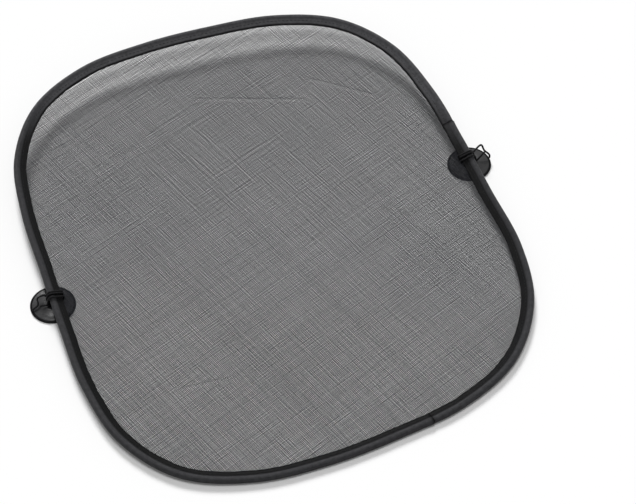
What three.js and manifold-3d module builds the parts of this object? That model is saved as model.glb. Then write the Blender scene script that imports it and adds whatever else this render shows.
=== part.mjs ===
// A car side window sunshade: a sprung wire loop sewn into a fabric hem, with a net panel
// stretched across it and two suction cups clipped to the wire.
// Millimetres, +Z up. The shade lies face up on a flat surface, on its two cups and its front
// edge. The origin is at the middle of its outline, on that surface.
import * as THREE from 'three';
import { mergeVertices } from 'three/addons/utils/BufferGeometryUtils.js';
import Module from 'manifold-3d';

const wasm = await Module();
wasm.setup();

// Driving dimensions
const SHADE_WIDTH = 439;
const SHADE_DEPTH = 492;
const WIRE_DIAMETER = 2.5;
const WIRE_END_GAP = 1;
const FERRULE_LENGTH = 26;
const FERRULE_WALL = 0.5;
const FERRULE_CLEARANCE = 0.2;
const HEM_CLOTH = 0.6;
const BEAD_RADIUS = 2.8;
const BEAD_TAPER = 0.45;
const HEM_FLANGE = 4.9;
const STRIP_GAP = 0.5;
const NET_THICKNESS = 0.4;
const NET_TUCK = 2.5;
const NET_BORDER = 13;
const NET_BAR = 12;
const CLEARANCE = 0.3;
const CUP_DIAMETER = 38;
const CUP_RIM_WALL = 1.1;
const CUP_RIM_SEAT = 2;
const CUP_CROWN = 4;
const CUP_WALL = 1.7;
const CUP_BOSS_RADIUS = 7.5;
const CUP_SHOULDER = 6.5;
const CUP_EDGE_ROUND = 0.3;
const CUP_SKIRT_RISE = 0.9;
const LUG_WIDTH = 11;
const LUG_THICKNESS = 4.4;
const LUG_BAR = 1.1;
const LUG_SLOT_WIDTH = 8.2;
const LUG_SLOT_HEIGHT = 2.4;
const LUG_TO_BEAD = 0.45;
const CLIP_WIRE = 1.7;
const CLIP_SLACK = 0.15;
const CLIP_EYE_WIDTH = 4.6;
const CLIP_EYE_RISE = 2.2;
// How far out each clip's eye stands from the wire, how high, and how far back along the wire
const LEFT_EYE = { reach: 12.2, lift: 4.6, back: 0.8 };
const RIGHT_EYE = { reach: 15, lift: 9.5, back: 3 };

// The wire's outline, seen from above, in shares of its half width and half depth
const OUTLINE = [
  [-1, 0.313], [-0.951, 0.069], [-0.862, -0.168], [-0.772, -0.404], [-0.671, -0.643],
  [-0.525, -0.851], [-0.303, -0.981], [-0.034, -0.993], [0.233, -0.927], [0.487, -0.824],
  [0.732, -0.698], [0.92, -0.522], [1, -0.288], [0.966, -0.051], [0.861, 0.188],
  [0.76, 0.42], [0.648, 0.649], [0.493, 0.857], [0.272, 0.981], [0.007, 0.994],
  [-0.265, 0.934], [-0.524, 0.851], [-0.766, 0.734], [-0.942, 0.551],
];
// Places along the wire, as shares of its length, counter-clockwise from the outline's first point
const LEFT_CUP_AT = 0.105;
const RIGHT_CUP_AT = 0.614;
const FRONT_SEAM_AT = 0.397;
const SIDE_SEAM_AT = 0.642;
// Where the three loops of a clip cross the hem, along the wire from the cup's middle
const CLIP_LOOPS_AT = [-2.7, -0.7, 3];
// The net's openings, which are drawn far larger than the mesh is, from side to side and from
// back to front, and the least share of a whole one that is still cut beside the hem
const OPENINGS_ACROSS = 10;
const OPENINGS_DEEP = 12;
const LEAST_OPENING = 0.3;

// Smoothness
const ROUND_SIDES = 8;
const CLIP_SIDES = 6;
const FERRULE_SIDES = 16;
const BEAD_STEPS = 10;
const STEP_LENGTH = 13;
const CUP_SEGMENTS = 36;
const CLIP_STEPS = 130;
const CURVE_DIVISIONS = 1440;
const SUPPORT_SAMPLES = 360;

// Worked-out sizes
const wireRadius = WIRE_DIAMETER / 2;
const netTop = NET_THICKNESS / 2;
const slotHalf = netTop + CLEARANCE;
const flangeHalf = slotHalf + HEM_CLOTH;
const beadInside = BEAD_RADIUS - HEM_CLOTH;
const flangeStart = BEAD_RADIUS + HEM_CLOTH + CLEARANCE;
const hemInnerEdge = BEAD_RADIUS + HEM_FLANGE;
const netEdge = hemInnerEdge - NET_TUCK;
const clipRadius = CLIP_WIRE / 2;
const cupRadius = CUP_DIAMETER / 2;
const slotBottom = CUP_CROWN;
const lugTop = slotBottom + LUG_SLOT_HEIGHT + LUG_BAR;
const wireOverCup = lugTop + LUG_TO_BEAD + BEAD_RADIUS;
const clipGap = CLEARANCE + CLIP_SLACK + clipRadius;
const clipInSlot = slotBottom + LUG_SLOT_HEIGHT / 2;
const clipPastHem = hemInnerEdge + clipGap;
const clipBesideBead = BEAD_RADIUS + clipGap;
const rimTop = CUP_RIM_WALL + 2 * CLEARANCE + clipRadius;

const fabricBlack = new THREE.MeshStandardMaterial({ color: 0x2c2c2e, roughness: 0.85, metalness: 0 });
const netGrey = new THREE.MeshStandardMaterial({
  color: 0x3a3a3d, roughness: 0.9, metalness: 0, transparent: true, opacity: 0.62, side: THREE.DoubleSide,
});
const rubberBlack = new THREE.MeshStandardMaterial({ color: 0x1d1d1f, roughness: 0.35, metalness: 0 });
const steelDark = new THREE.MeshStandardMaterial({ color: 0x121213, roughness: 0.4, metalness: 0.7 });
const steelBright = new THREE.MeshStandardMaterial({ color: 0x8b8d90, roughness: 0.35, metalness: 0.9 });

// The wire's centre line, flat, before the shade is tipped onto its cups
const outline = new THREE.CatmullRomCurve3(
  OUTLINE.map(([x, y]) => new THREE.Vector3(
    x * (SHADE_WIDTH / 2 - BEAD_RADIUS), y * (SHADE_DEPTH / 2 - BEAD_RADIUS), 0)),
  true, 'centripetal');
outline.arcLengthDivisions = CURVE_DIVISIONS;
const wireLength = outline.getLength();

// The stretch of the outline between two places on it, going counter-clockwise
class Stretch extends THREE.Curve {
  constructor(from, to) {
    super();
    this.from = from;
    this.to = to;
  }

  getPoint(t, target = new THREE.Vector3()) {
    const place = this.from + (this.to - this.from) * t;
    return outline.getPointAt(THREE.MathUtils.euclideanModulo(place, 1), target);
  }

  steps() {
    return Math.max(3, Math.round((this.to - this.from) * wireLength / STEP_LENGTH));
  }
}

// A section swept along a curve. On a flat counter-clockwise curve the section's x points down
// and its y points towards the inside of the loop.
function sweep(section, curve, steps) {
  return new THREE.ExtrudeGeometry(section, { steps, extrudePath: curve, curveSegments: 1 });
}

function roundSection(radius, sides) {
  const section = new THREE.Shape();
  for (let i = 0; i < sides; i += 1) {
    const angle = (i + 0.5) * 2 * Math.PI / sides;
    const method = i === 0 ? 'moveTo' : 'lineTo';
    section[method](radius * Math.cos(angle), radius * Math.sin(angle));
  }
  section.closePath();
  return section;
}

function toSolid(geometry) {
  const bare = geometry.clone();
  bare.deleteAttribute('normal');
  bare.deleteAttribute('uv');
  const merged = mergeVertices(bare, 1e-4);
  return new wasm.Manifold(new wasm.Mesh({
    numProp: 3,
    vertProperties: new Float32Array(merged.attributes.position.array),
    triVerts: new Uint32Array(merged.index.array),
  }));
}

function toGeometry(solid) {
  const mesh = solid.getMesh();
  const geometry = new THREE.BufferGeometry();
  geometry.setAttribute('position', new THREE.BufferAttribute(new Float32Array(mesh.vertProperties), 3));
  geometry.setIndex(new THREE.BufferAttribute(new Uint32Array(mesh.triVerts), 1));
  geometry.computeVertexNormals();
  return geometry;
}

function named(name, geometry, material) {
  const mesh = new THREE.Mesh(geometry, material);
  mesh.name = name;
  return mesh;
}

// Steel loop: one wire, its two ends meeting in a crimped ferrule
function frameWire() {
  const half = WIRE_END_GAP / 2 / wireLength;
  const run = new Stretch(FRONT_SEAM_AT + half, FRONT_SEAM_AT + 1 - half);
  return sweep(roundSection(wireRadius, ROUND_SIDES), run, run.steps());
}

function wireFerrule() {
  const bore = wireRadius + FERRULE_CLEARANCE;
  const section = roundSection(bore + FERRULE_WALL, FERRULE_SIDES);
  section.holes.push(roundSection(bore, FERRULE_SIDES));
  const half = FERRULE_LENGTH / 2 / wireLength;
  const run = new Stretch(FRONT_SEAM_AT - half, FRONT_SEAM_AT + half);
  return sweep(section, run, run.steps());
}

// Hem: one cloth tape folded round the wire. Its fold is the round bead, and its two flanges
// hold the net's edge between them.
function hemSection() {
  const section = new THREE.Shape();
  const arc = (radius, half, sign) => {
    const start = Math.asin(half / radius) + BEAD_TAPER;
    for (let i = 0; i <= BEAD_STEPS; i += 1) {
      const angle = start + (2 * Math.PI - 2 * start) * i / BEAD_STEPS;
      section.lineTo(sign * radius * Math.sin(angle), radius * Math.cos(angle));
    }
  };
  section.moveTo(flangeHalf, hemInnerEdge);
  section.lineTo(flangeHalf, flangeStart + HEM_CLOTH / 2);
  arc(BEAD_RADIUS, flangeHalf, 1);
  section.lineTo(-flangeHalf, flangeStart + HEM_CLOTH / 2);
  section.lineTo(-flangeHalf, hemInnerEdge);
  section.lineTo(-slotHalf, hemInnerEdge);
  section.lineTo(-slotHalf, flangeStart);
  arc(beadInside, slotHalf, -1);
  section.lineTo(slotHalf, flangeStart);
  section.lineTo(slotHalf, hemInnerEdge);
  section.closePath();
  return section;
}

function hemStrip(from, to) {
  const half = STRIP_GAP / 2 / wireLength;
  const run = new Stretch(from + half, to - half);
  return sweep(hemSection(), run, run.steps());
}

// The outline moved inwards from the wire
function insetOutline(distance) {
  const count = Math.round(wireLength / STEP_LENGTH);
  return Array.from({ length: count }, (_, i) => {
    const point = outline.getPointAt(i / count);
    const along = outline.getTangentAt(i / count);
    return [point.x - along.y * distance, point.y + along.x * distance];
  });
}

function pathThrough(corners, path) {
  corners.forEach(([x, y], i) => path[i === 0 ? 'moveTo' : 'lineTo'](x, y));
  path.closePath();
  return path;
}

// A plain grid of openings, cut off where it meets the net's border
function netOpenings() {
  const within = new wasm.CrossSection([insetOutline(NET_BORDER)]);
  const pitch = [SHADE_WIDTH / OPENINGS_ACROSS, SHADE_DEPTH / OPENINGS_DEEP];
  const size = [pitch[0] - NET_BAR, pitch[1] - NET_BAR];
  const openings = [];
  for (let column = 0; column < OPENINGS_ACROSS; column += 1) {
    for (let row = 0; row < OPENINGS_DEEP; row += 1) {
      const place = [
        (column + 0.5) * pitch[0] - SHADE_WIDTH / 2,
        (row + 0.5) * pitch[1] - SHADE_DEPTH / 2,
      ];
      const opening = wasm.CrossSection.square(size, true).translate(place).intersect(within)
        .simplify(HEM_CLOTH / 10);
      if (opening.area() > LEAST_OPENING * size[0] * size[1]) {
        openings.push(...opening.toPolygons());
      }
    }
  }
  return openings;
}

// The slit in the net that a clip's loops go through, just inside the hem
function clipSlit(cup) {
  const low = Math.min(...CLIP_LOOPS_AT) - clipGap;
  const high = Math.max(...CLIP_LOOPS_AT) + clipGap;
  const near = clipPastHem - clipGap;
  const far = clipPastHem + clipGap;
  return [[low, near], [low, far], [high, far], [high, near]].map(([x, y]) => {
    const corner = new THREE.Vector3(cup.side * x, y, 0).applyMatrix4(cup.flatMatrix);
    return [corner.x, corner.y];
  });
}

function flatSolid(corners, thickness) {
  const slab = new THREE.ExtrudeGeometry(
    corners.map((ring) => pathThrough(ring, new THREE.Shape())), { depth: thickness, bevelEnabled: false });
  slab.translate(0, 0, -thickness / 2);
  return toSolid(slab);
}

// Net: one flat sheet that ends between the hem's flanges
function netPanel(cups) {
  const cuts = [...netOpenings(), ...cups.map(clipSlit)];
  return toGeometry(flatSolid([insetOutline(netEdge)], NET_THICKNESS)
    .subtract(flatSolid(cuts, 2 * NET_THICKNESS)));
}

// Suction cup: a soft disc, hollow below, with a slotted lug across its crown.
// In the cup's own frame x runs along the wire, y points into the shade and z is up.
const discTop = [
  [cupRadius, 0], [cupRadius, CUP_RIM_WALL], [cupRadius - CUP_RIM_SEAT, CUP_RIM_WALL + CUP_EDGE_ROUND],
  [cupRadius - CUP_SHOULDER, CUP_RIM_WALL + CUP_SKIRT_RISE],
  [CUP_BOSS_RADIUS + CUP_EDGE_ROUND * 3, CUP_CROWN - CUP_EDGE_ROUND * 2],
  [CUP_BOSS_RADIUS, CUP_CROWN], [0, CUP_CROWN],
];

function suctionCup() {
  const underCrown = CUP_CROWN - CUP_WALL;
  const seatInside = cupRadius - CUP_RIM_SEAT;
  const hollow = [
    [0, underCrown], [CUP_BOSS_RADIUS, underCrown - CUP_EDGE_ROUND / 2],
    [cupRadius - CUP_SHOULDER, CUP_SKIRT_RISE], [seatInside - CUP_EDGE_ROUND * 3, CUP_EDGE_ROUND],
    [seatInside, 0],
  ];
  const profile = [...hollow, ...discTop].map(([r, z]) => new THREE.Vector2(r, z));
  profile.push(profile[0].clone());
  const disc = new THREE.LatheGeometry(profile, CUP_SEGMENTS);
  disc.rotateX(Math.PI / 2);
  const lug = new THREE.Shape();
  const lugFoot = CUP_CROWN - CUP_WALL / 2;
  const corner = LUG_BAR;
  lug.moveTo(-LUG_WIDTH / 2, lugFoot);
  lug.lineTo(LUG_WIDTH / 2, lugFoot);
  lug.lineTo(LUG_WIDTH / 2, lugTop - corner);
  lug.absarc(LUG_WIDTH / 2 - corner, lugTop - corner, corner, 0, Math.PI / 2, false);
  lug.absarc(corner - LUG_WIDTH / 2, lugTop - corner, corner, Math.PI / 2, Math.PI, false);
  lug.closePath();
  const slot = new THREE.Path();
  slot.moveTo(-LUG_SLOT_WIDTH / 2, slotBottom);
  slot.lineTo(LUG_SLOT_WIDTH / 2, slotBottom);
  slot.lineTo(LUG_SLOT_WIDTH / 2, slotBottom + LUG_SLOT_HEIGHT);
  slot.lineTo(-LUG_SLOT_WIDTH / 2, slotBottom + LUG_SLOT_HEIGHT);
  slot.closePath();
  lug.holes.push(slot);
  const block = new THREE.ExtrudeGeometry(lug, { depth: LUG_THICKNESS, bevelEnabled: false, curveSegments: 4 });
  block.rotateX(Math.PI / 2);
  block.translate(0, LUG_THICKNESS / 2, 0);
  return toGeometry(toSolid(disc).add(toSolid(block)));
}

// Clip: one spring wire, wound three times round the hem and through the lug's slot, with a
// flat eye outside the hem and a tail that ends on the cup's rim.
class ClipRoute extends THREE.Curve {
  constructor(eye) {
    super();
    const points = [...this.tailAndEye(eye), ...this.loops(), ...this.end(eye)];
    this.curve = new THREE.CatmullRomCurve3(
      points.map(([x, y, z]) => new THREE.Vector3(x, y, z)), false, 'centripetal');
    this.curve.arcLengthDivisions = CURVE_DIVISIONS;
  }

  tailAndEye({ reach, lift, back }) {
    return [
      [CLIP_WIRE, -cupRadius + clipRadius, rimTop],
      [CLIP_WIRE / 2, -reach - 2 * CLIP_WIRE, (rimTop + lift) / 2],
      [-back, -reach, lift],
      [-back - CLIP_EYE_WIDTH, -reach + clipRadius, lift + CLIP_EYE_RISE],
      [CLIP_LOOPS_AT[0] - clipRadius, -clipBesideBead - CLIP_WIRE, wireOverCup + clipRadius],
    ];
  }

  // One loop, from the bead's outer side over the hem, down through the net and back through
  // the slot. The last number of each point is how far it has moved on to the next loop.
  loopOutline() {
    const overBead = [180, 140, 100, 65].map((degrees) => {
      const angle = THREE.MathUtils.degToRad(degrees);
      return [clipBesideBead * Math.cos(angle), wireOverCup + clipBesideBead * Math.sin(angle), 0];
    });
    const overFlange = wireOverCup + flangeHalf + clipGap;
    const underFlange = wireOverCup - flangeHalf - clipGap;
    const besideLug = LUG_THICKNESS / 2 + clipRadius / 2;
    return [
      ...overBead,
      [hemInnerEdge - clipGap, overFlange, 0],
      [clipPastHem, wireOverCup + clipGap, 0],
      [clipPastHem, wireOverCup - clipRadius, 0],
      [clipPastHem - clipRadius / 2, underFlange, 0],
      [(clipPastHem + besideLug) / 2, (underFlange + clipInSlot) / 2 - clipRadius / 2, 0.2],
      [besideLug, clipInSlot, 0.4],
      [-besideLug, clipInSlot, 0.7],
      [-clipBesideBead, clipInSlot + 2 * clipRadius, 0.9],
    ];
  }

  loops() {
    const shape = this.loopOutline();
    return CLIP_LOOPS_AT.flatMap((at, i) => {
      const next = CLIP_LOOPS_AT[i + 1] ?? at;
      const isLast = i === CLIP_LOOPS_AT.length - 1;
      return (isLast ? shape.slice(0, -1) : shape).map(
        ([y, z, moved]) => [THREE.MathUtils.lerp(at, next, moved), y, z]);
    });
  }

  end({ reach, lift, back }) {
    return [
      [CLIP_LOOPS_AT.at(-1), -clipBesideBead - clipRadius, clipInSlot + clipRadius],
      [2 * CLIP_WIRE - back, -reach + clipRadius, lift + CLIP_EYE_RISE],
    ];
  }

  getPoint(t, target = new THREE.Vector3()) {
    return this.curve.getPointAt(t, target);
  }
}

function cupClip(cup) {
  const route = new ClipRoute(cup.eye);
  const tube = sweep(roundSection(clipRadius, CLIP_SIDES), route, CLIP_STEPS);
  if (cup.side < 0) {
    tube.scale(-1, 1, 1);
    const flipped = mergeVertices(tube, 1e-5);
    const index = flipped.index.array;
    for (let i = 0; i < index.length; i += 3) {
      [index[i], index[i + 1]] = [index[i + 1], index[i]];
    }
    return flipped;
  }
  return tube;
}

// A cup's place on the wire, first on the flat shade
function cupPlace(at, side, eye) {
  const point = outline.getPointAt(at);
  const along = outline.getTangentAt(at);
  const turn = Math.atan2(along.y, along.x);
  const flatMatrix = new THREE.Matrix4().makeRotationZ(turn).setPosition(point);
  return { side, eye, point, turn, flatMatrix };
}

// side is 1 where the wire runs towards the front at the cup, and -1 where it runs to the back
const leftCup = cupPlace(LEFT_CUP_AT, 1, LEFT_EYE);
const rightCup = cupPlace(RIGHT_CUP_AT, -1, RIGHT_EYE);

// The shade leans on its two cups and on the point of its front edge that is farthest from
// the line between them.
function leaningMatrix() {
  const line = new THREE.Vector3().subVectors(rightCup.point, leftCup.point).normalize();
  const forward = new THREE.Vector3(line.y, -line.x, 0);
  let reach = 0;
  for (let i = 0; i < SUPPORT_SAMPLES; i += 1) {
    const offset = outline.getPointAt(i / SUPPORT_SAMPLES).sub(leftCup.point);
    reach = Math.max(reach, offset.dot(forward));
  }
  const lean = Math.asin((wireOverCup - BEAD_RADIUS) / reach);
  const toCup = new THREE.Matrix4().makeTranslation(
    -leftCup.point.x, -leftCup.point.y, -leftCup.point.z);
  const turn = new THREE.Matrix4().makeRotationAxis(line, lean);
  const back = new THREE.Matrix4().makeTranslation(leftCup.point.x, leftCup.point.y, wireOverCup);
  return back.multiply(turn).multiply(toCup);
}

const shade = new THREE.Group();
shade.add(
  named('frame_wire', frameWire(), steelBright),
  named('wire_ferrule', wireFerrule(), steelBright),
  named('hem_main', hemStrip(SIDE_SEAM_AT, FRONT_SEAM_AT + 1), fabricBlack),
  named('hem_side', hemStrip(FRONT_SEAM_AT, SIDE_SEAM_AT), fabricBlack),
  named('net_panel', netPanel([leftCup, rightCup]), netGrey),
);
const leaning = leaningMatrix();
shade.applyMatrix4(leaning);

const root = new THREE.Group();
root.add(shade);
for (const [side, cup] of [['left', leftCup], ['right', rightCup]]) {
  const group = new THREE.Group();
  const foot = cup.point.clone().applyMatrix4(leaning);
  group.position.set(foot.x, foot.y, 0);
  group.rotation.z = cup.turn;
  group.add(
    named(`suction_cup_${side}`, suctionCup(), rubberBlack),
    named(`cup_clip_${side}`, cupClip(cup), steelDark),
  );
  root.add(group);
}

// The origin goes to the middle of the outline, on the surface
root.updateMatrixWorld(true);
const box = new THREE.Box3().setFromObject(root, true);
const middle = box.getCenter(new THREE.Vector3());
root.position.set(-middle.x, -middle.y, -box.min.z);
root.updateMatrixWorld(true);

export default root;
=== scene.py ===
"""The looks of the car side window sunshade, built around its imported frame."""
import math

import bpy
import numpy as np
from mathutils import Matrix, Vector


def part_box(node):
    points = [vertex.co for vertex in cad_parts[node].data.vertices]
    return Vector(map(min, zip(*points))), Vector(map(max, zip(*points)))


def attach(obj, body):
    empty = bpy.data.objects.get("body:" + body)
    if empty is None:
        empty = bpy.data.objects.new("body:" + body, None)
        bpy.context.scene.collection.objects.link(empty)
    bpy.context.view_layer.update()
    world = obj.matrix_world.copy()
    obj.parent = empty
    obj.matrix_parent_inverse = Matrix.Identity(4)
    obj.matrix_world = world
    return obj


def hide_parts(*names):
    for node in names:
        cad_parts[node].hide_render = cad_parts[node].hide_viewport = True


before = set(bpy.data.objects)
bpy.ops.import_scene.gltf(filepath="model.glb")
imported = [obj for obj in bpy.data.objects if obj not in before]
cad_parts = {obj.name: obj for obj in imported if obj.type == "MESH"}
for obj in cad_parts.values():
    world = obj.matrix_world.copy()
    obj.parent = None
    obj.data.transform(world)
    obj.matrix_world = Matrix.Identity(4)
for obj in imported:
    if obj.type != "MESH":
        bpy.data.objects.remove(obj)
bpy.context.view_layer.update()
draws = np.random.default_rng(11)

# Sizes in millimetres, the same as in the part
MM = 0.001
SHADE_WIDTH, SHADE_DEPTH = 439, 492
BEAD_RADIUS = 2.8
BEAD_INSIDE = 2.2
NET_EDGE = 5.2
NET_DROP = 1.0
STRIP_GAP = 0.5
WIRE_OVER_CUP = 10.75
CUP_RADIUS = 19
RIM_INSIDE = 17.2
HEM_INNER_EDGE = 7.7
FLANGE_HALF = 1.1
CLIP_RADIUS = 0.85
CLIP_GAP = 1.3
CLIP_IN_SLOT = 5.2
CLIP_EYE_WIDTH, CLIP_EYE_RISE = 4.6, 2.2
CLIP_LOOPS_AT = [-2.7, -0.7, 3]
LUG_THICKNESS = 4.4
LUG_BODY = {"half_width": 5.5, "half_height": 2.25, "middle": 5.25, "squareness": 5}
LUG_SLOT = {"half_width": 4.1, "half_height": 1.2, "middle": 5.2, "squareness": 6}
RIM_TOP = 2.55
LEFT_EYE = {"reach": 12.2, "lift": 4.6, "back": 0.8}
RIGHT_EYE = {"reach": 15, "lift": 9.5, "back": 3}
OUTLINE = [
    (-1, 0.313), (-0.951, 0.069), (-0.862, -0.168), (-0.772, -0.404), (-0.671, -0.643),
    (-0.525, -0.851), (-0.303, -0.981), (-0.034, -0.993), (0.233, -0.927), (0.487, -0.824),
    (0.732, -0.698), (0.92, -0.522), (1, -0.288), (0.966, -0.051), (0.861, 0.188),
    (0.76, 0.42), (0.648, 0.649), (0.493, 0.857), (0.272, 0.981), (0.007, 0.994),
    (-0.265, 0.934), (-0.524, 0.851), (-0.766, 0.734), (-0.942, 0.551),
]
LEFT_CUP_AT, RIGHT_CUP_AT = 0.105, 0.614
FRONT_SEAM_AT, SIDE_SEAM_AT = 0.397, 0.642

# The net's threads, in millimetres, with each spread as a share of the pitch or the width
THREAD_PITCH = 1.2
THREAD_WIDTH = 0.4
THREAD_SWAY = 0.3
THREAD_LIFT = 0.15
THREAD_STEP = 12
THREAD_PROBE = 1.3
THREAD_END_GAP = 0.1
SHORTEST_THREAD = 4
PLACE_SPREAD = 0.09
WIDTH_SPREAD = 0.12
GRAIN = math.radians(41)
SAG = 0.25
SAG_FADE = 14
BEND_KEPT = 0.06

# The net's creases, each from one end to the other in the flat shade, in millimetres
CREASES = [
    ((-71, 146), (34, 147)), ((25, 174), (96, 151)),
    ((-133, 75), (-112, 95)), ((-77, -160), (-21, -145)),
]
CREASE_HALF_WIDTH = 2.6
CREASE_HEIGHT = 0.9
CREASE_FADE = 12

# The tape and its stitches, in millimetres inward from the wire or along it
HEM_STEP = 1
STITCH_PITCH = 3.6
STITCH_LENGTH = 2.7
STITCH_RADIUS = 0.2
STITCH_IN = 4.35
SEAM_FLARE, SEAM_FLARE_LENGTH = 0.32, 9
FLANGE_FROM, FLANGE_FADE, FLANGE_WIDTH = 3, 1.2, 5
BEAD_TO, BEAD_FADE = 2.4, 1.2

# Where light is painted on the tape: not beside a seam, which stays painted shade, and less at the front than
# at the back
SEAM_SHADE = 1.8
BACK_FROM, BACK_FADE = 95, 60
FRONT_PAINTED_LIGHT = 0.6

# The slopes, in radians, of the rings that round off a wire's end
TUBE_END_LEANS = (0.45, 0.9, 1.35)


class Path:
    """A centripetal curve through points, asked for places by their share of its length."""

    def __init__(self, points, closed, per_span=160):
        p = np.array(points, float)
        if closed:
            a, b, c, d = np.roll(p, 1, 0), p, np.roll(p, -1, 0), np.roll(p, -2, 0)
        else:
            ends = np.vstack([2 * p[0] - p[1], p, 2 * p[-1] - p[-2]])
            a, b, c, d = ends[:-3], ends[1:-2], ends[2:-1], ends[3:]
        pairs = ((a, b), (b, c), (c, d))
        ab, bc, cd = (np.linalg.norm(y - x, axis=1, keepdims=True) ** 0.5 for x, y in pairs)
        leave = ((b - a) / ab - (c - a) / (ab + bc) + (c - b) / bc) * bc
        reach = ((c - b) / bc - (d - b) / (bc + cd) + (d - c) / cd) * bc
        t = np.linspace(0, 1, per_span, endpoint=False)[None, :, None]
        b, c, leave, reach = b[:, None], c[:, None], leave[:, None], reach[:, None]
        square = 3 * (c - b) - 2 * leave - reach
        cube = 2 * (b - c) + leave + reach
        curve = b + leave * t + square * t ** 2 + cube * t ** 3
        self.points = np.vstack([curve.reshape(-1, p.shape[1]), p[0] if closed else p[-1]])
        steps = np.linalg.norm(np.diff(self.points, axis=0), axis=1)
        self.lengths = np.concatenate([[0], np.cumsum(steps)])
        self.length = self.lengths[-1]
        self.closed = closed

    def at(self, shares):
        """The places at shares of the length."""
        where = np.asarray(shares, float)
        where = (where % 1 if self.closed else np.clip(where, 0, 1)) * self.length
        return np.stack([np.interp(where, self.lengths, column) for column in self.points.T], axis=-1)

    def along(self, shares):
        """The directions at shares of the length, each one unit long."""
        half = 0.5 / self.length
        step = self.at(np.asarray(shares) + half) - self.at(np.asarray(shares) - half)
        return step / np.linalg.norm(step, axis=-1, keepdims=True)


WIRE_REACH = (SHADE_WIDTH / 2 - BEAD_RADIUS, SHADE_DEPTH / 2 - BEAD_RADIUS)
wire = Path([(x * WIRE_REACH[0], y * WIRE_REACH[1]) for x, y in OUTLINE], True)


def leaning():
    """The matrix that tips the flat shade onto its cups and its front edge, in the row frame."""
    left, right = (Vector((*wire.at(at), 0)) for at in (LEFT_CUP_AT, RIGHT_CUP_AT))
    line = (right - left).normalized()
    forward = np.array([line.y, -line.x])
    reach = ((wire.points - np.array(left[:2])) @ forward).max()
    lean = math.asin((WIRE_OVER_CUP - BEAD_RADIUS) / reach)
    tip = Matrix.Rotation(lean, 4, line) @ Matrix.Translation(-left)
    low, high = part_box("suction_cup_left")
    foot = (low + high) / 2 / MM
    return np.array(Matrix.Translation((foot.x, foot.y, WIRE_OVER_CUP)) @ tip)


LEAN = leaning()


def leaned(points):
    """Points of the flat shade, in its place."""
    points = np.asarray(points, float)
    return points @ LEAN[:3, :3].T + LEAN[:3, 3]


def on_hem(shares, inward, up):
    """Places beside the wire, in the flat shade: inward from the wire and up from its plane."""
    spot, along = wire.at(shares), wire.along(shares)
    flat = np.stack([spot[..., 0] - along[..., 1] * inward, spot[..., 1] + along[..., 0] * inward], axis=-1)
    return np.concatenate([flat, np.broadcast_to(up, flat.shape[:-1])[..., None]], axis=-1)


def wander(shares, waves, seed):
    """A gentle closed wobble round the shade, from -1 to 1."""
    dice = np.random.default_rng(seed)
    total = np.zeros_like(np.asarray(shares, float))
    for wave in waves:
        total += np.sin(2 * math.pi * (round(wave) * shares + dice.random())) * dice.uniform(0.5, 1)
    return total / len(waves)


def build(name, points, faces, material, uvs=None):
    """A smooth mesh object from points in millimetres, riding on the body."""
    mesh = bpy.data.meshes.new(name)
    mesh.from_pydata((np.asarray(points) * MM).tolist(), [], faces)
    if uvs is not None:
        layer = mesh.uv_layers.new(name="tape")
        corners = np.zeros(len(mesh.loops), dtype=int)
        mesh.loops.foreach_get("vertex_index", corners)
        layer.data.foreach_set("uv", np.asarray(uvs, dtype=float)[corners].ravel())
    mesh.polygons.foreach_set("use_smooth", [True] * len(mesh.polygons))
    mesh.materials.append(material)
    mesh.update()
    piece = bpy.data.objects.new(name, mesh)
    bpy.context.scene.collection.objects.link(piece)
    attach(piece, "root")
    return piece


def skin(rings, start=0, loop=False):
    """Quads between rings of points, given as how many rings and how many points in each. The ends
    are capped unless the rings close on themselves."""
    count, sides = rings
    faces = []
    for i in range(count if loop else count - 1):
        a, b = start + i * sides, start + (i + 1) % count * sides
        faces += [(a + j, a + (j + 1) % sides, b + (j + 1) % sides, b + j) for j in range(sides)]
    if not loop:
        faces.append(tuple(start + j for j in reversed(range(sides))))
        faces.append(tuple(start + (count - 1) * sides + j for j in range(sides)))
    return faces


# Materials
def principled(name, colour, roughness, specular):
    """A new material with its node tree and its one shader."""
    material = bpy.data.materials.new(name)
    material.use_nodes = True
    tree = material.node_tree
    shader = tree.nodes["Principled BSDF"]
    shader.inputs["Base Color"].default_value = (*colour, 1)
    shader.inputs["Roughness"].default_value = roughness
    shader.inputs["Specular IOR Level"].default_value = specular
    return material, tree, shader


def mottle(tree, shader, colour, spread, scale, source=None):
    """Varies the colour between two shades of itself."""
    noise = tree.nodes.new("ShaderNodeTexNoise")
    noise.inputs["Scale"].default_value = scale
    noise.inputs["Detail"].default_value = 4
    if source is None:
        source = tree.nodes.new("ShaderNodeTexCoord").outputs["Object"]
    tree.links.new(source, noise.inputs["Vector"])
    ramp = tree.nodes.new("ShaderNodeValToRGB")
    ramp.color_ramp.elements[0].position = 0.3
    ramp.color_ramp.elements[0].color = (*(c * (1 - spread) for c in colour), 1)
    ramp.color_ramp.elements[1].position = 0.7
    ramp.color_ramp.elements[1].color = (*(c * (1 + spread) for c in colour), 1)
    tree.links.new(noise.outputs["Fac"], ramp.inputs["Fac"])
    tree.links.new(ramp.outputs["Color"], shader.inputs["Base Color"])
    return noise


def bump(tree, shader, height, distance, strength):
    """Roughens the surface by a height, in metres."""
    node = tree.nodes.new("ShaderNodeBump")
    node.inputs["Distance"].default_value = distance
    node.inputs["Strength"].default_value = strength
    tree.links.new(height, node.inputs["Height"])
    tree.links.new(node.outputs["Normal"], shader.inputs["Normal"])


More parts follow.
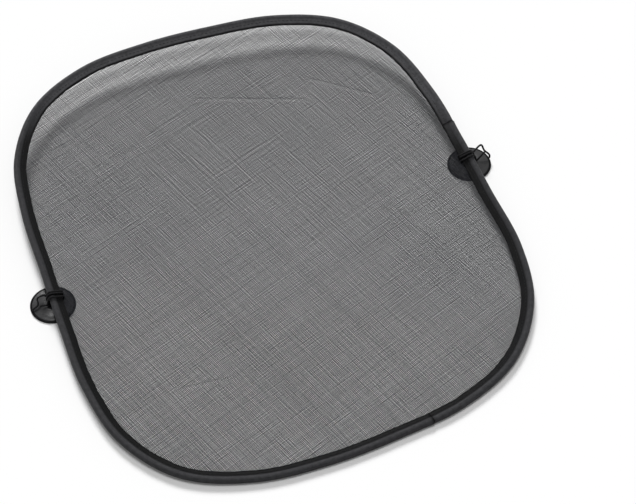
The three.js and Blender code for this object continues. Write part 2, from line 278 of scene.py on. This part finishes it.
def tape_cloth():
    """Black woven tape: fine ribs across it and a finer thread along it. Where an attribute puts painted
    light, it is lighter; elsewhere it is painted near-black as shade."""
    # A lighter copy of the tape's colour is painted highlight, and a near-black copy is painted shade
    lit_crest_colour, shaded_flange_colour = (0.06, 0.06, 0.064), (0.002, 0.002, 0.0022)
    material, tree, shader = principled("hem_tape", lit_crest_colour, 0.4, 0.08)
    uv = tree.nodes.new("ShaderNodeUVMap")
    uv.uv_map = "tape"
    mottle(tree, shader, lit_crest_colour, 0.25, 3, uv.outputs["UV"])
    painted_light = tree.nodes.new("ShaderNodeAttribute")
    painted_light.attribute_name = "painted_light"
    blend = tree.nodes.new("ShaderNodeMix")
    blend.data_type = "RGBA"
    blend.inputs["A"].default_value = (*shaded_flange_colour, 1)
    tree.links.new(painted_light.outputs["Fac"], blend.inputs["Factor"])
    tree.links.new(shader.inputs["Base Color"].links[0].from_socket, blend.inputs["B"])
    tree.links.new(blend.outputs["Result"], shader.inputs["Base Color"])
    heights = []
    for direction, scale in (("X", 5.2), ("Y", 3.6)):
        wave = tree.nodes.new("ShaderNodeTexWave")
        wave.bands_direction = direction
        wave.inputs["Scale"].default_value = scale
        wave.inputs["Distortion"].default_value = 0.4
        tree.links.new(uv.outputs["UV"], wave.inputs["Vector"])
        heights.append(wave.outputs["Fac"])
    product = tree.nodes.new("ShaderNodeMath")
    product.operation = "MULTIPLY"
    tree.links.new(heights[0], product.inputs[0])
    tree.links.new(heights[1], product.inputs[1])
    bump(tree, shader, product.outputs["Value"], 0.00012, 0.6)
    return material


def plain(name, colour, roughness, specular, spread, scale, bump_distance=0.00002, metallic=0.0, coat=0.0):
    """A moulded, coated or drawn surface, with faint mottling and a fine grain."""
    material, tree, shader = principled(name, colour, roughness, specular)
    shader.inputs["Metallic"].default_value = metallic
    shader.inputs["Coat Weight"].default_value = coat
    noise = mottle(tree, shader, colour, spread, scale)
    bump(tree, shader, noise.outputs["Fac"], bump_distance, 0.5)
    return material


TAPE = tape_cloth()
NET = plain("net_yarn", (0.038, 0.039, 0.046), 0.7, 0.2, 0.5, 700)
SEWING = plain("sewing_thread", (0.012, 0.012, 0.013), 0.6, 0.12, 0.2, 400)
VINYL = plain("cup_soft_vinyl", (0.01, 0.01, 0.011), 0.3, 0.42, 0.4, 500, 0.0003)
# The rim's darker, duller vinyl is painted shade for the dark reflection along the cup's edge
RIM = plain("cup_soft_vinyl_rim", (0.004, 0.004, 0.0045), 0.45, 0.06, 0.2, 500)
COATED = plain("clip_coated_wire", (0.004, 0.004, 0.0045), 0.45, 0.12, 0.2, 300)
STEEL = plain("spring_steel", (0.45, 0.46, 0.48), 0.32, 0.5, 0.08, 500, metallic=1.0)


# Net: two sets of threads, one laid over the other, each thread a fine closed tube
def net_height(x, y):
    """How far the net stands off its plane: a slight sag, and the creases left from folding."""
    height = SAG * np.sin(x / 46 + 0.6) * np.sin(y / 61 + 1.1)
    for (ax, ay), (bx, by) in CREASES:
        length = math.hypot(bx - ax, by - ay)
        ux, uy = (bx - ax) / length, (by - ay) / length
        along = (x - ax) * ux + (y - ay) * uy
        across = (y - ay) * ux - (x - ax) * uy
        ridge = np.clip(1 - np.abs(across) / CREASE_HALF_WIDTH, 0, 1)
        fade = np.clip(np.minimum(along, length - along) / CREASE_FADE, 0, 1)
        height = height + CREASE_HEIGHT * ridge * fade
    return height


def net_threads():
    """Both sets of threads, laid along a grain that is turned from the shade's own axes."""
    shares = np.linspace(0, 1, 1440, endpoint=False)
    flat_edge = on_hem(shares, NET_EDGE, 0)[:, :2]
    turn = np.array([[math.cos(GRAIN), -math.sin(GRAIN)], [math.sin(GRAIN), math.cos(GRAIN)]])
    edge = flat_edge @ turn
    points, faces, used = [], [], 0
    for axis, lift in ((0, THREAD_LIFT), (1, -THREAD_LIFT)):
        cross, run = edge[:, axis], edge[:, 1 - axis]
        count = int((cross.max() - cross.min()) / THREAD_PITCH)
        spacing = (cross.max() - cross.min()) / (count + 1)
        for i in range(1, count + 1):
            place = cross.min() + (i + draws.uniform(-PLACE_SPREAD, PLACE_SPREAD)) * spacing
            side = cross - place
            hits = np.nonzero(side * np.roll(side, -1) < 0)[0]
            after = (hits + 1) % len(edge)
            ends = run[hits] + (run[after] - run[hits]) * side[hits] / (side[hits] - side[after])
            if len(ends) < 2 or ends.max() - ends.min() < SHORTEST_THREAD:
                continue
            low, high = ends.min() + THREAD_END_GAP, ends.max() - THREAD_END_GAP
            fine = np.linspace(low, high, max(3, int((high - low) / THREAD_PROBE)))
            still = np.full_like(fine, place)
            spots = np.stack([still, fine] if axis == 0 else [fine, still], axis=1) @ turn.T
            rise = net_height(spots[:, 0], spots[:, 1])
            rise = rise * np.clip(np.minimum(fine - low, high - fine) / SAG_FADE, 0, 1)
            bend = np.abs(np.convolve(rise, [1, -2, 1], "same"))
            keep = bend > BEND_KEPT
            keep[[0, -1]] = True
            keep[::int(THREAD_STEP / THREAD_PROBE)] = True
            keep[1] = keep[-2] = False
            at, rise = fine[keep], rise[keep] + lift - NET_DROP
            half = THREAD_WIDTH / 2 * draws.uniform(1 - WIDTH_SPREAD, 1 + WIDTH_SPREAD)
            sway = draws.uniform(-THREAD_SWAY, THREAD_SWAY, len(at))
            ring = np.empty((len(at), 3, 3))
            ring[:, :, 1 - axis] = at[:, None]
            ring[:, :, axis] = place + sway[:, None] + half * np.array([1, 0, -1])
            ring[:, :, 2] = rise[:, None] + half * np.array([-0.58, 1.15, -0.58])
            if axis == 0:
                ring = ring[:, ::-1]
            faces += skin((len(at), 3), used)
            used += len(at) * 3
            points.append(ring.reshape(-1, 3))
    points = np.vstack(points)
    points[:, :2] = points[:, :2] @ turn.T
    return build("net_threads", leaned(points), faces, NET), flat_edge


net, net_edge = net_threads()
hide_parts("net_panel")


# Hem: the tape's section, inward and up from the wire
def hem_section():
    """The tape's outline, how many of its points lie on top of the flange, and how much painted light each
    one gets: all round the bead's top does, fading out on the flange, and at the back the whole top does."""
    top_edge = [(7.9, -0.62), (8.12, -0.5), (8.16, -0.28), (8.0, -0.06), (7.7, 0.04)]
    top = [(7.2, 0.12), (6.4, 0.36), (5.5, 0.68), (4.8, 0.9), (4.35, 0.98), (3.8, 1.12), (3.2, 1.36)]
    top.append((2.7, 1.62))
    around = np.linspace(0.8, 2 * math.pi - 0.9, 26)
    bead = [(BEAD_RADIUS * math.cos(a), BEAD_RADIUS * math.sin(a)) for a in around]
    bottom = [(2.3, -1.95), (3.1, -1.78), (3.8, -1.66), (4.35, -1.6), (5.4, -1.62), (6.6, -1.66)]
    bottom_edge = [(7.6, -1.66), (7.95, -1.55), (8.05, -1.42), (7.9, -1.3)]
    under = [(7.2, -1.28), (5.4, -1.26), (3.9, -1.2), (3.0, -1.05)]
    back = np.linspace(2 * math.pi - 0.5, 0.42, 14)
    inside = [(BEAD_INSIDE * math.cos(a), BEAD_INSIDE * math.sin(a)) for a in back]
    over = [(3.0, 0.62), (3.9, 0.42), (5.4, -0.1), (7.2, -0.62)]
    points = np.array(top_edge + top + bead + bottom + bottom_edge + under + inside + over)
    # Painted highlight on the bead's top and, at the back, on the flange's whole top; the rest stays painted
    # shade
    painted_light = np.zeros(len(points))
    top_count = len(top_edge) + len(top)
    painted_light[top_count - 2:top_count] = 0.09, 0.3
    painted_light[top_count:top_count + len(bead)] = FRONT_PAINTED_LIGHT * np.clip((np.sin(around) + 0.2) / 0.45, 0, 1)
    painted_light_at_back = painted_light / FRONT_PAINTED_LIGHT
    painted_light_at_back[len(top_edge) + 1:top_count] = 1
    return points, top_count, painted_light, painted_light_at_back


def hem_cloth(name, start, end, node):
    """One strip of tape. Its first end is tucked in and its last end flares, so each seam shows."""
    section, top_count, painted_light, painted_light_at_back = hem_section()
    total = (end - start) * wire.length
    count = int(total / HEM_STEP)
    along = np.linspace(0, total, count)
    shares = start + along / wire.length
    u, v = section[:, 0][None, :], section[:, 1][None, :]
    distance = along[:, None]
    near_start = np.clip(1 - distance / SEAM_FLARE_LENGTH, 0, 1) ** 1.5
    near_end = np.clip(1 - (total - distance) / SEAM_FLARE_LENGTH, 0, 1) ** 1.5
    bell = SEAM_FLARE * near_end - SEAM_FLARE * near_start
    radius = np.hypot(u, v)
    round_part = np.clip(1 - (u - BEAD_TO) / BEAD_FADE, 0, 1)
    wobble = wander(shares, (61, 97, 173), 3)[:, None]
    slow = wander(shares, (23, 41, 67), 5)[:, None]
    edge_wave = wander(shares, (37, 59, 113, 151), 8)[:, None]
    phase = 2 * math.pi * (shares[:, None] * wire.length / STITCH_PITCH)
    flange = np.clip((u - FLANGE_FROM) / FLANGE_FADE, 0, 1)
    across = (u - FLANGE_FROM) / FLANGE_WIDTH
    near_stitch = np.exp(-((u - STITCH_IN) / 0.9) ** 2)
    swell = 1 + round_part * (bell + 0.05 * wobble) / np.maximum(radius, 0.5)
    in_u = u * swell + flange * across * (0.3 * edge_wave + 0.12 * slow)
    up_v = v * swell + flange * np.sign(v) * bell * 0.6
    flange_top = flange * (np.arange(len(section))[None, :] < top_count)
    up_v = up_v + flange_top * (0.16 * slow * across + near_stitch * 0.1 * np.cos(phase))
    spread = np.broadcast_to(shares[:, None], in_u.shape)
    points = leaned(on_hem(spread, in_u, up_v)).reshape(-1, 3)
    turn = np.concatenate([[0], np.cumsum(np.linalg.norm(np.diff(section, axis=0), axis=1))])
    uvs = np.stack(np.broadcast_arrays(distance / 10, turn[None, :] / 10), axis=-1).reshape(-1, 2)
    piece = build(name, points, skin((count, len(section))), TAPE, uvs)
    # The painted light shifts to its back share towards the back, and fades to painted shade beside each seam
    back = np.clip((wire.at(shares)[:, 1] - BACK_FROM) / BACK_FADE, 0, 1)[:, None]
    inside_seams = np.clip(np.minimum(along, total - along) / SEAM_SHADE, 0, 1)[:, None]
    painted_light_mask = (painted_light + (painted_light_at_back - painted_light) * back) * inside_seams
    layer = piece.data.attributes.new("painted_light", "FLOAT", "POINT")
    layer.data.foreach_set("value", painted_light_mask.ravel())
    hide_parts(node)
    return piece


# The side strip starts half a gap past the main strip's end at the front, and ends a whole gap
# short of its start at the side
gap = STRIP_GAP / 2 / wire.length
hem_main = hem_cloth("hem_tape_main", SIDE_SEAM_AT + gap, FRONT_SEAM_AT + 1 + gap, "hem_main")
hem_side = hem_cloth("hem_tape_side", FRONT_SEAM_AT + 2 * gap, SIDE_SEAM_AT - gap, "hem_side")


# Stitches: one lockstitch row along each face of the hem
def hem_stitches():
    """Short arched tubes end to end, thinner where they go into the tape."""
    count = int(wire.length / STITCH_PITCH)
    steps = np.linspace(0, 1, 5)
    arch = np.sin(math.pi * steps) ** 0.6
    turns = np.arange(6) * math.pi / 3
    points, faces = [], []
    for face, level in ((1, 1.0), (-1, 1.6)):
        for i in range(count):
            middle = (i + 0.5 + 0.25 * (face < 0)) * STITCH_PITCH / wire.length
            shares = middle + (steps - 0.5) * STITCH_LENGTH * draws.uniform(0.9, 1.05) / wire.length
            inward = STITCH_IN + draws.uniform(-0.08, 0.08)
            thick = STITCH_RADIUS * (0.55 + 0.45 * arch)
            height = face * (level + 0.2 * arch - 0.1)
            in_u = inward + thick[:, None] * np.cos(turns)
            up_v = height[:, None] + thick[:, None] * np.sin(turns)
            ring = on_hem(np.broadcast_to(shares[:, None], in_u.shape), in_u, up_v)
            faces += skin((len(steps), len(turns)), len(points) * ring.shape[0] * ring.shape[1])
            points.append(ring.reshape(-1, 3))
    return build("hem_stitches", leaned(np.vstack(points)), faces, SEWING)


stitches = hem_stitches()


# Cups: a soft disc, hollow below, with a slotted lug across its crown
def cup_place(at):
    """Where a cup stands: on the ground below the wire, turned to run along it."""
    along = wire.along(at)
    turn = math.atan2(along[1], along[0])
    foot = leaned(np.array([*wire.at(at), 0]))
    return Matrix.Translation((foot[0], foot[1], 0)) @ Matrix.Rotation(turn, 4, "Z")


def placed(points, matrix):
    """Points moved by a matrix."""
    matrix = np.array(matrix)
    return np.asarray(points) @ matrix[:3, :3].T + matrix[:3, 3]


def lathe(profile, segments):
    """A closed solid turned from a profile whose two ends are on the axis."""
    turns = np.linspace(0, 2 * math.pi, segments, endpoint=False)
    body = np.array(profile[1:-1])
    rings = np.stack([np.outer(np.cos(turns), body[:, 0]), np.outer(np.sin(turns), body[:, 0]),
                      np.broadcast_to(body[:, 1], (segments, len(body)))], axis=-1)
    sides = len(body)
    points = np.vstack([rings.reshape(-1, 3), [[0, 0, profile[0][1]], [0, 0, profile[-1][1]]]])
    first, last = segments * sides, segments * sides + 1
    faces = []
    for i in range(segments):
        a, b = i * sides, (i + 1) % segments * sides
        faces += [(a + j, b + j, b + j + 1, a + j + 1) for j in range(sides - 1)]
        faces.append((a, first, b))
        faces.append((a + sides - 1, b + sides - 1, last))
    return points, faces


def cup_lug(start):
    """The lug as a ring round its slot, with eased edges."""
    turns = np.linspace(0, 2 * math.pi, 56, endpoint=False)

    def rounded(half_width, half_height, middle, squareness):
        cos, sin = np.cos(turns), np.sin(turns)
        across = half_width * np.sign(cos) * np.abs(cos) ** (2 / squareness)
        up = middle + half_height * np.sign(sin) * np.abs(sin) ** (2 / squareness)
        return np.stack([across, np.zeros_like(across), up], axis=-1)

    inner, outer = rounded(**LUG_SLOT), rounded(**LUG_BODY)
    half = LUG_THICKNESS / 2
    front = [
        (0, half - 0.3), (0.1, half - 0.08), (0.25, half),
        (0.75, half), (0.9, half - 0.08), (1, half - 0.3),
    ]
    section = front + [(share, -depth) for share, depth in reversed(front)]
    rings = [inner + (outer - inner) * share + np.array([0, depth, 0]) for share, depth in section]
    points = np.stack(rings, axis=1).reshape(-1, 3)
    return points, skin((len(turns), len(section)), start, loop=True)


def disc_profile():
    """The disc's section, out from its middle and up: its hollow, its rim and its crown."""
    hollow = [
        (0, 2.3), (3.5, 2.3), (6, 2.26), (7.5, 2.1), (10, 1.45), (12.5, 0.9), (14.5, 0.55), (16, 0.3),
        (RIM_INSIDE - 0.3, 0.08), (RIM_INSIDE, 0),
    ]
    rim = [
        (CUP_RADIUS - 0.5, 0), (CUP_RADIUS - 0.2, 0.08), (CUP_RADIUS - 0.03, 0.3), (CUP_RADIUS, 0.6),
        (CUP_RADIUS - 0.1, 0.9), (CUP_RADIUS - 0.38, 1.1), (CUP_RADIUS - 0.9, 1.2),
    ]
    crown = [
        (17, 1.36), (15.8, 1.5), (15.3, 1.62), (14.9, 1.68), (13.4, 1.85), (12.2, 2.1), (10.6, 2.6),
        (9.2, 3.15), (8.4, 3.5), (7.9, 3.8), (7.5, 3.94), (7, 4), (6.4, 3.98), (3, 3.96), (0, 3.96),
    ]
    return hollow + rim + crown


def suction_cup(name, at, node):
    """One disc with its lug. The rim is darker and duller than the rest, as painted shade for the dark
    reflection along its outer slope.
    """
    points, faces = lathe(disc_profile(), 96)
    lug, lug_faces = cup_lug(len(points))
    points = placed(np.vstack([points, lug]), cup_place(at))
    piece = build(name, points, faces + lug_faces, VINYL)
    piece.data.materials.append(RIM)
    foot = cup_place(at).to_translation() * MM
    for face in piece.data.polygons:
        if math.hypot(face.center.x - foot.x, face.center.y - foot.y) > RIM_INSIDE * MM:
            face.material_index = 1
    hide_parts(node)
    return piece


suction_cup("cup_disc_left", LEFT_CUP_AT, "suction_cup_left")
suction_cup("cup_disc_right", RIGHT_CUP_AT, "suction_cup_right")


# Clips: one spring wire each, on the same route as in the part
def clip_points(eye):
    """The points of the wire's route, as along the hem, inward and up from the ground: the tail on
    the rim, the eye, the loops over the hem and through the slot, and back to the eye."""
    reach, lift, back = eye["reach"], eye["lift"], eye["back"]
    thick = 2 * CLIP_RADIUS
    beside_bead = BEAD_RADIUS + CLIP_GAP
    past_hem = HEM_INNER_EDGE + CLIP_GAP
    over_flange = WIRE_OVER_CUP + FLANGE_HALF + CLIP_GAP
    under_flange = WIRE_OVER_CUP - FLANGE_HALF - CLIP_GAP
    beside_lug = LUG_THICKNESS / 2 + CLIP_RADIUS / 2
    turns = [math.radians(turn) for turn in (180, 140, 100, 65)]
    loop = [(beside_bead * math.cos(turn), WIRE_OVER_CUP + beside_bead * math.sin(turn), 0) for turn in turns]
    loop += [
        (HEM_INNER_EDGE - CLIP_GAP, over_flange, 0),
        (past_hem, WIRE_OVER_CUP + CLIP_GAP, 0),
        (past_hem, WIRE_OVER_CUP - CLIP_RADIUS, 0),
        (past_hem - CLIP_RADIUS / 2, under_flange, 0),
        ((past_hem + beside_lug) / 2, (under_flange + CLIP_IN_SLOT) / 2 - CLIP_RADIUS / 2, 0.2),
        (beside_lug, CLIP_IN_SLOT, 0.4),
        (-beside_lug, CLIP_IN_SLOT, 0.7),
        (-beside_bead, CLIP_IN_SLOT + thick, 0.9),
    ]
    points = [
        (thick, -CUP_RADIUS + CLIP_RADIUS, RIM_TOP),
        (thick / 2, -reach - 2 * thick, (RIM_TOP + lift) / 2),
        (-back, -reach, lift),
        (-back - CLIP_EYE_WIDTH, -reach + CLIP_RADIUS, lift + CLIP_EYE_RISE),
        (CLIP_LOOPS_AT[0] - CLIP_RADIUS, -beside_bead - thick, WIRE_OVER_CUP + CLIP_RADIUS),
    ]
    for i, at in enumerate(CLIP_LOOPS_AT):
        is_last = i == len(CLIP_LOOPS_AT) - 1
        following = at if is_last else CLIP_LOOPS_AT[i + 1]
        points += [(at + (following - at) * moved, y, z) for y, z, moved in (loop[:-1] if is_last else loop)]
    points.append((CLIP_LOOPS_AT[-1], -beside_bead - CLIP_RADIUS, CLIP_IN_SLOT + CLIP_RADIUS))
    points.append((2 * thick - back, -reach + CLIP_RADIUS, lift + CLIP_EYE_RISE))
    return points


def tube(centres, radius, sides):
    """Rings round a line of centres, with rounded ends."""
    centres = np.asarray(centres)
    along = np.gradient(centres, axis=0)
    along /= np.linalg.norm(along, axis=1, keepdims=True)
    turns = np.arange(sides) * 2 * math.pi / sides
    across = np.cross(along[0], [0.3, 0.2, 1])
    rings = []
    last = len(centres) - 1
    for i, (centre, way) in enumerate(zip(centres, along)):
        across = across - way * np.dot(across, way)
        across /= np.linalg.norm(across)
        other = np.cross(way, across)
        ring = np.outer(np.cos(turns), across) + np.outer(np.sin(turns), other)
        if i == 0:
            for lean in reversed(TUBE_END_LEANS):
                rings.append(centre - way * radius * math.sin(lean) + ring * radius * math.cos(lean))
        rings.append(centre + ring * radius)
        if i == last:
            for lean in TUBE_END_LEANS:
                rings.append(centre + way * radius * math.sin(lean) + ring * radius * math.cos(lean))
    return np.array(rings)


def cup_clip(name, at, side, eye, node):
    """One clip. A side of -1 mirrors its route along the hem."""
    route = Path(clip_points(eye), False, 24)
    inset = CLIP_RADIUS / route.length
    centres = route.at(np.linspace(inset, 1 - inset, 420))
    rings = tube(centres * np.array([side, 1, 1]), CLIP_RADIUS, 12)
    points = placed(rings.reshape(-1, 3), cup_place(at))
    piece = build(name, points, skin(rings.shape[:2]), COATED)
    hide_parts(node)
    return piece


cup_clip("clip_wire_left", LEFT_CUP_AT, 1, LEFT_EYE, "cup_clip_left")
cup_clip("clip_wire_right", RIGHT_CUP_AT, -1, RIGHT_EYE, "cup_clip_right")

for node in ("frame_wire", "wire_ferrule"):
    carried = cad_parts[node]
    for holder in carried.material_slots:
        holder.material = STEEL


# Stage: a pale floor and a white surround
def seen(tree):
    """1 where the eye, a reflection or something clear looks at the surface, and otherwise 0."""
    path = tree.nodes.new("ShaderNodeLightPath")
    level = path.outputs["Is Camera Ray"]
    for name in ("Is Glossy Ray", "Is Transmission Ray"):
        either = tree.nodes.new("ShaderNodeMath")
        either.operation = "MAXIMUM"
        tree.links.new(level, either.inputs[0])
        tree.links.new(path.outputs[name], either.inputs[1])
        level = either.outputs["Value"]
    return level


FLOOR_COLOUR = 0.93
FLOOR_LIFT = 0.045
FLOOR_REACH = 8
FLOOR_LEVEL = -0.0003
floor_mesh = bpy.data.meshes.new("floor")
corners = [(x * FLOOR_REACH, y * FLOOR_REACH, FLOOR_LEVEL) for x, y in ((-1, -1), (1, -1), (1, 1), (-1, 1))]
floor_mesh.from_pydata(corners, [], [(0, 1, 2, 3)])
floor = bpy.data.objects.new("floor", floor_mesh)
bpy.context.scene.collection.objects.link(floor)
floor_material, tree, shader = principled("floor_white", (FLOOR_COLOUR,) * 3, 0.9, 0.0)
lift = tree.nodes.new("ShaderNodeMath")
lift.operation = "MULTIPLY"
lift.inputs[1].default_value = FLOOR_LIFT
tree.links.new(seen(tree), lift.inputs[0])
shader.inputs["Emission Color"].default_value = (1, 1, 1, 1)
tree.links.new(lift.outputs["Value"], shader.inputs["Emission Strength"])
floor_mesh.materials.append(floor_material)

AMBIENT = 0.22
world = bpy.data.worlds.new("surround")
bpy.context.scene.world = world
world.use_nodes = True
tree = world.node_tree
around = tree.nodes["Background"]
around.inputs["Color"].default_value = (1, 1, 1, 1)
strength = tree.nodes.new("ShaderNodeMapRange")
strength.inputs["To Min"].default_value = AMBIENT
strength.inputs["To Max"].default_value = 1
tree.links.new(seen(tree), strength.inputs["Value"])
tree.links.new(strength.outputs["Result"], around.inputs["Strength"])

# Lamps, all far off: a low one behind the shade, its weak glint on what is glossy, and a soft
# one straight above
KEY_ELEVATION = math.radians(36.5)
KEY_TURN = math.radians(12)
LAMPS = {
    "key": {"level": 0.4, "elevation": KEY_ELEVATION, "spread": math.radians(18), "glossy": False},
    "glint": {"level": 0.09, "elevation": KEY_ELEVATION, "spread": math.radians(12), "glossy": True},
    "top": {"level": 0.32, "elevation": math.radians(88), "spread": math.radians(24), "glossy": True},
}
for name, lamp in LAMPS.items():
    lamp_data = bpy.data.lights.new(name, "SUN")
    lamp_data.energy = lamp["level"] * math.pi / math.sin(lamp["elevation"])
    lamp_data.angle = lamp["spread"]
    lamp_object = bpy.data.objects.new(name, lamp_data)
    lamp_object.rotation_euler = (lamp["elevation"] - math.pi / 2, 0, KEY_TURN)
    lamp_object.visible_glossy = lamp["glossy"]
    bpy.context.scene.collection.objects.link(lamp_object)

# Camera: two metres off, looking down at the shade from its front
CAMERA_ELEVATION = math.radians(51.5)
CAMERA_DISTANCE = 2.0
CAMERA_TARGET = Vector((0.04116, -0.01303, 0))
PICTURE_WIDTH = 636
METRES_PER_PIXEL = 0.00084
SENSOR_WIDTH = 36
camera_data = bpy.data.cameras.new("camera")
camera_data.sensor_width = SENSOR_WIDTH
camera_data.lens = SENSOR_WIDTH * (CAMERA_DISTANCE / METRES_PER_PIXEL) / PICTURE_WIDTH
camera_data.clip_end = 50
camera = bpy.data.objects.new("camera", camera_data)
backward = Vector((0, -math.cos(CAMERA_ELEVATION), math.sin(CAMERA_ELEVATION)))
camera.location = CAMERA_TARGET + CAMERA_DISTANCE * backward
camera.rotation_euler = (math.pi / 2 - CAMERA_ELEVATION, 0, 0)
bpy.context.scene.collection.objects.link(camera)
bpy.context.scene.camera = camera
bpy.context.scene.view_settings.view_transform = "Standard"
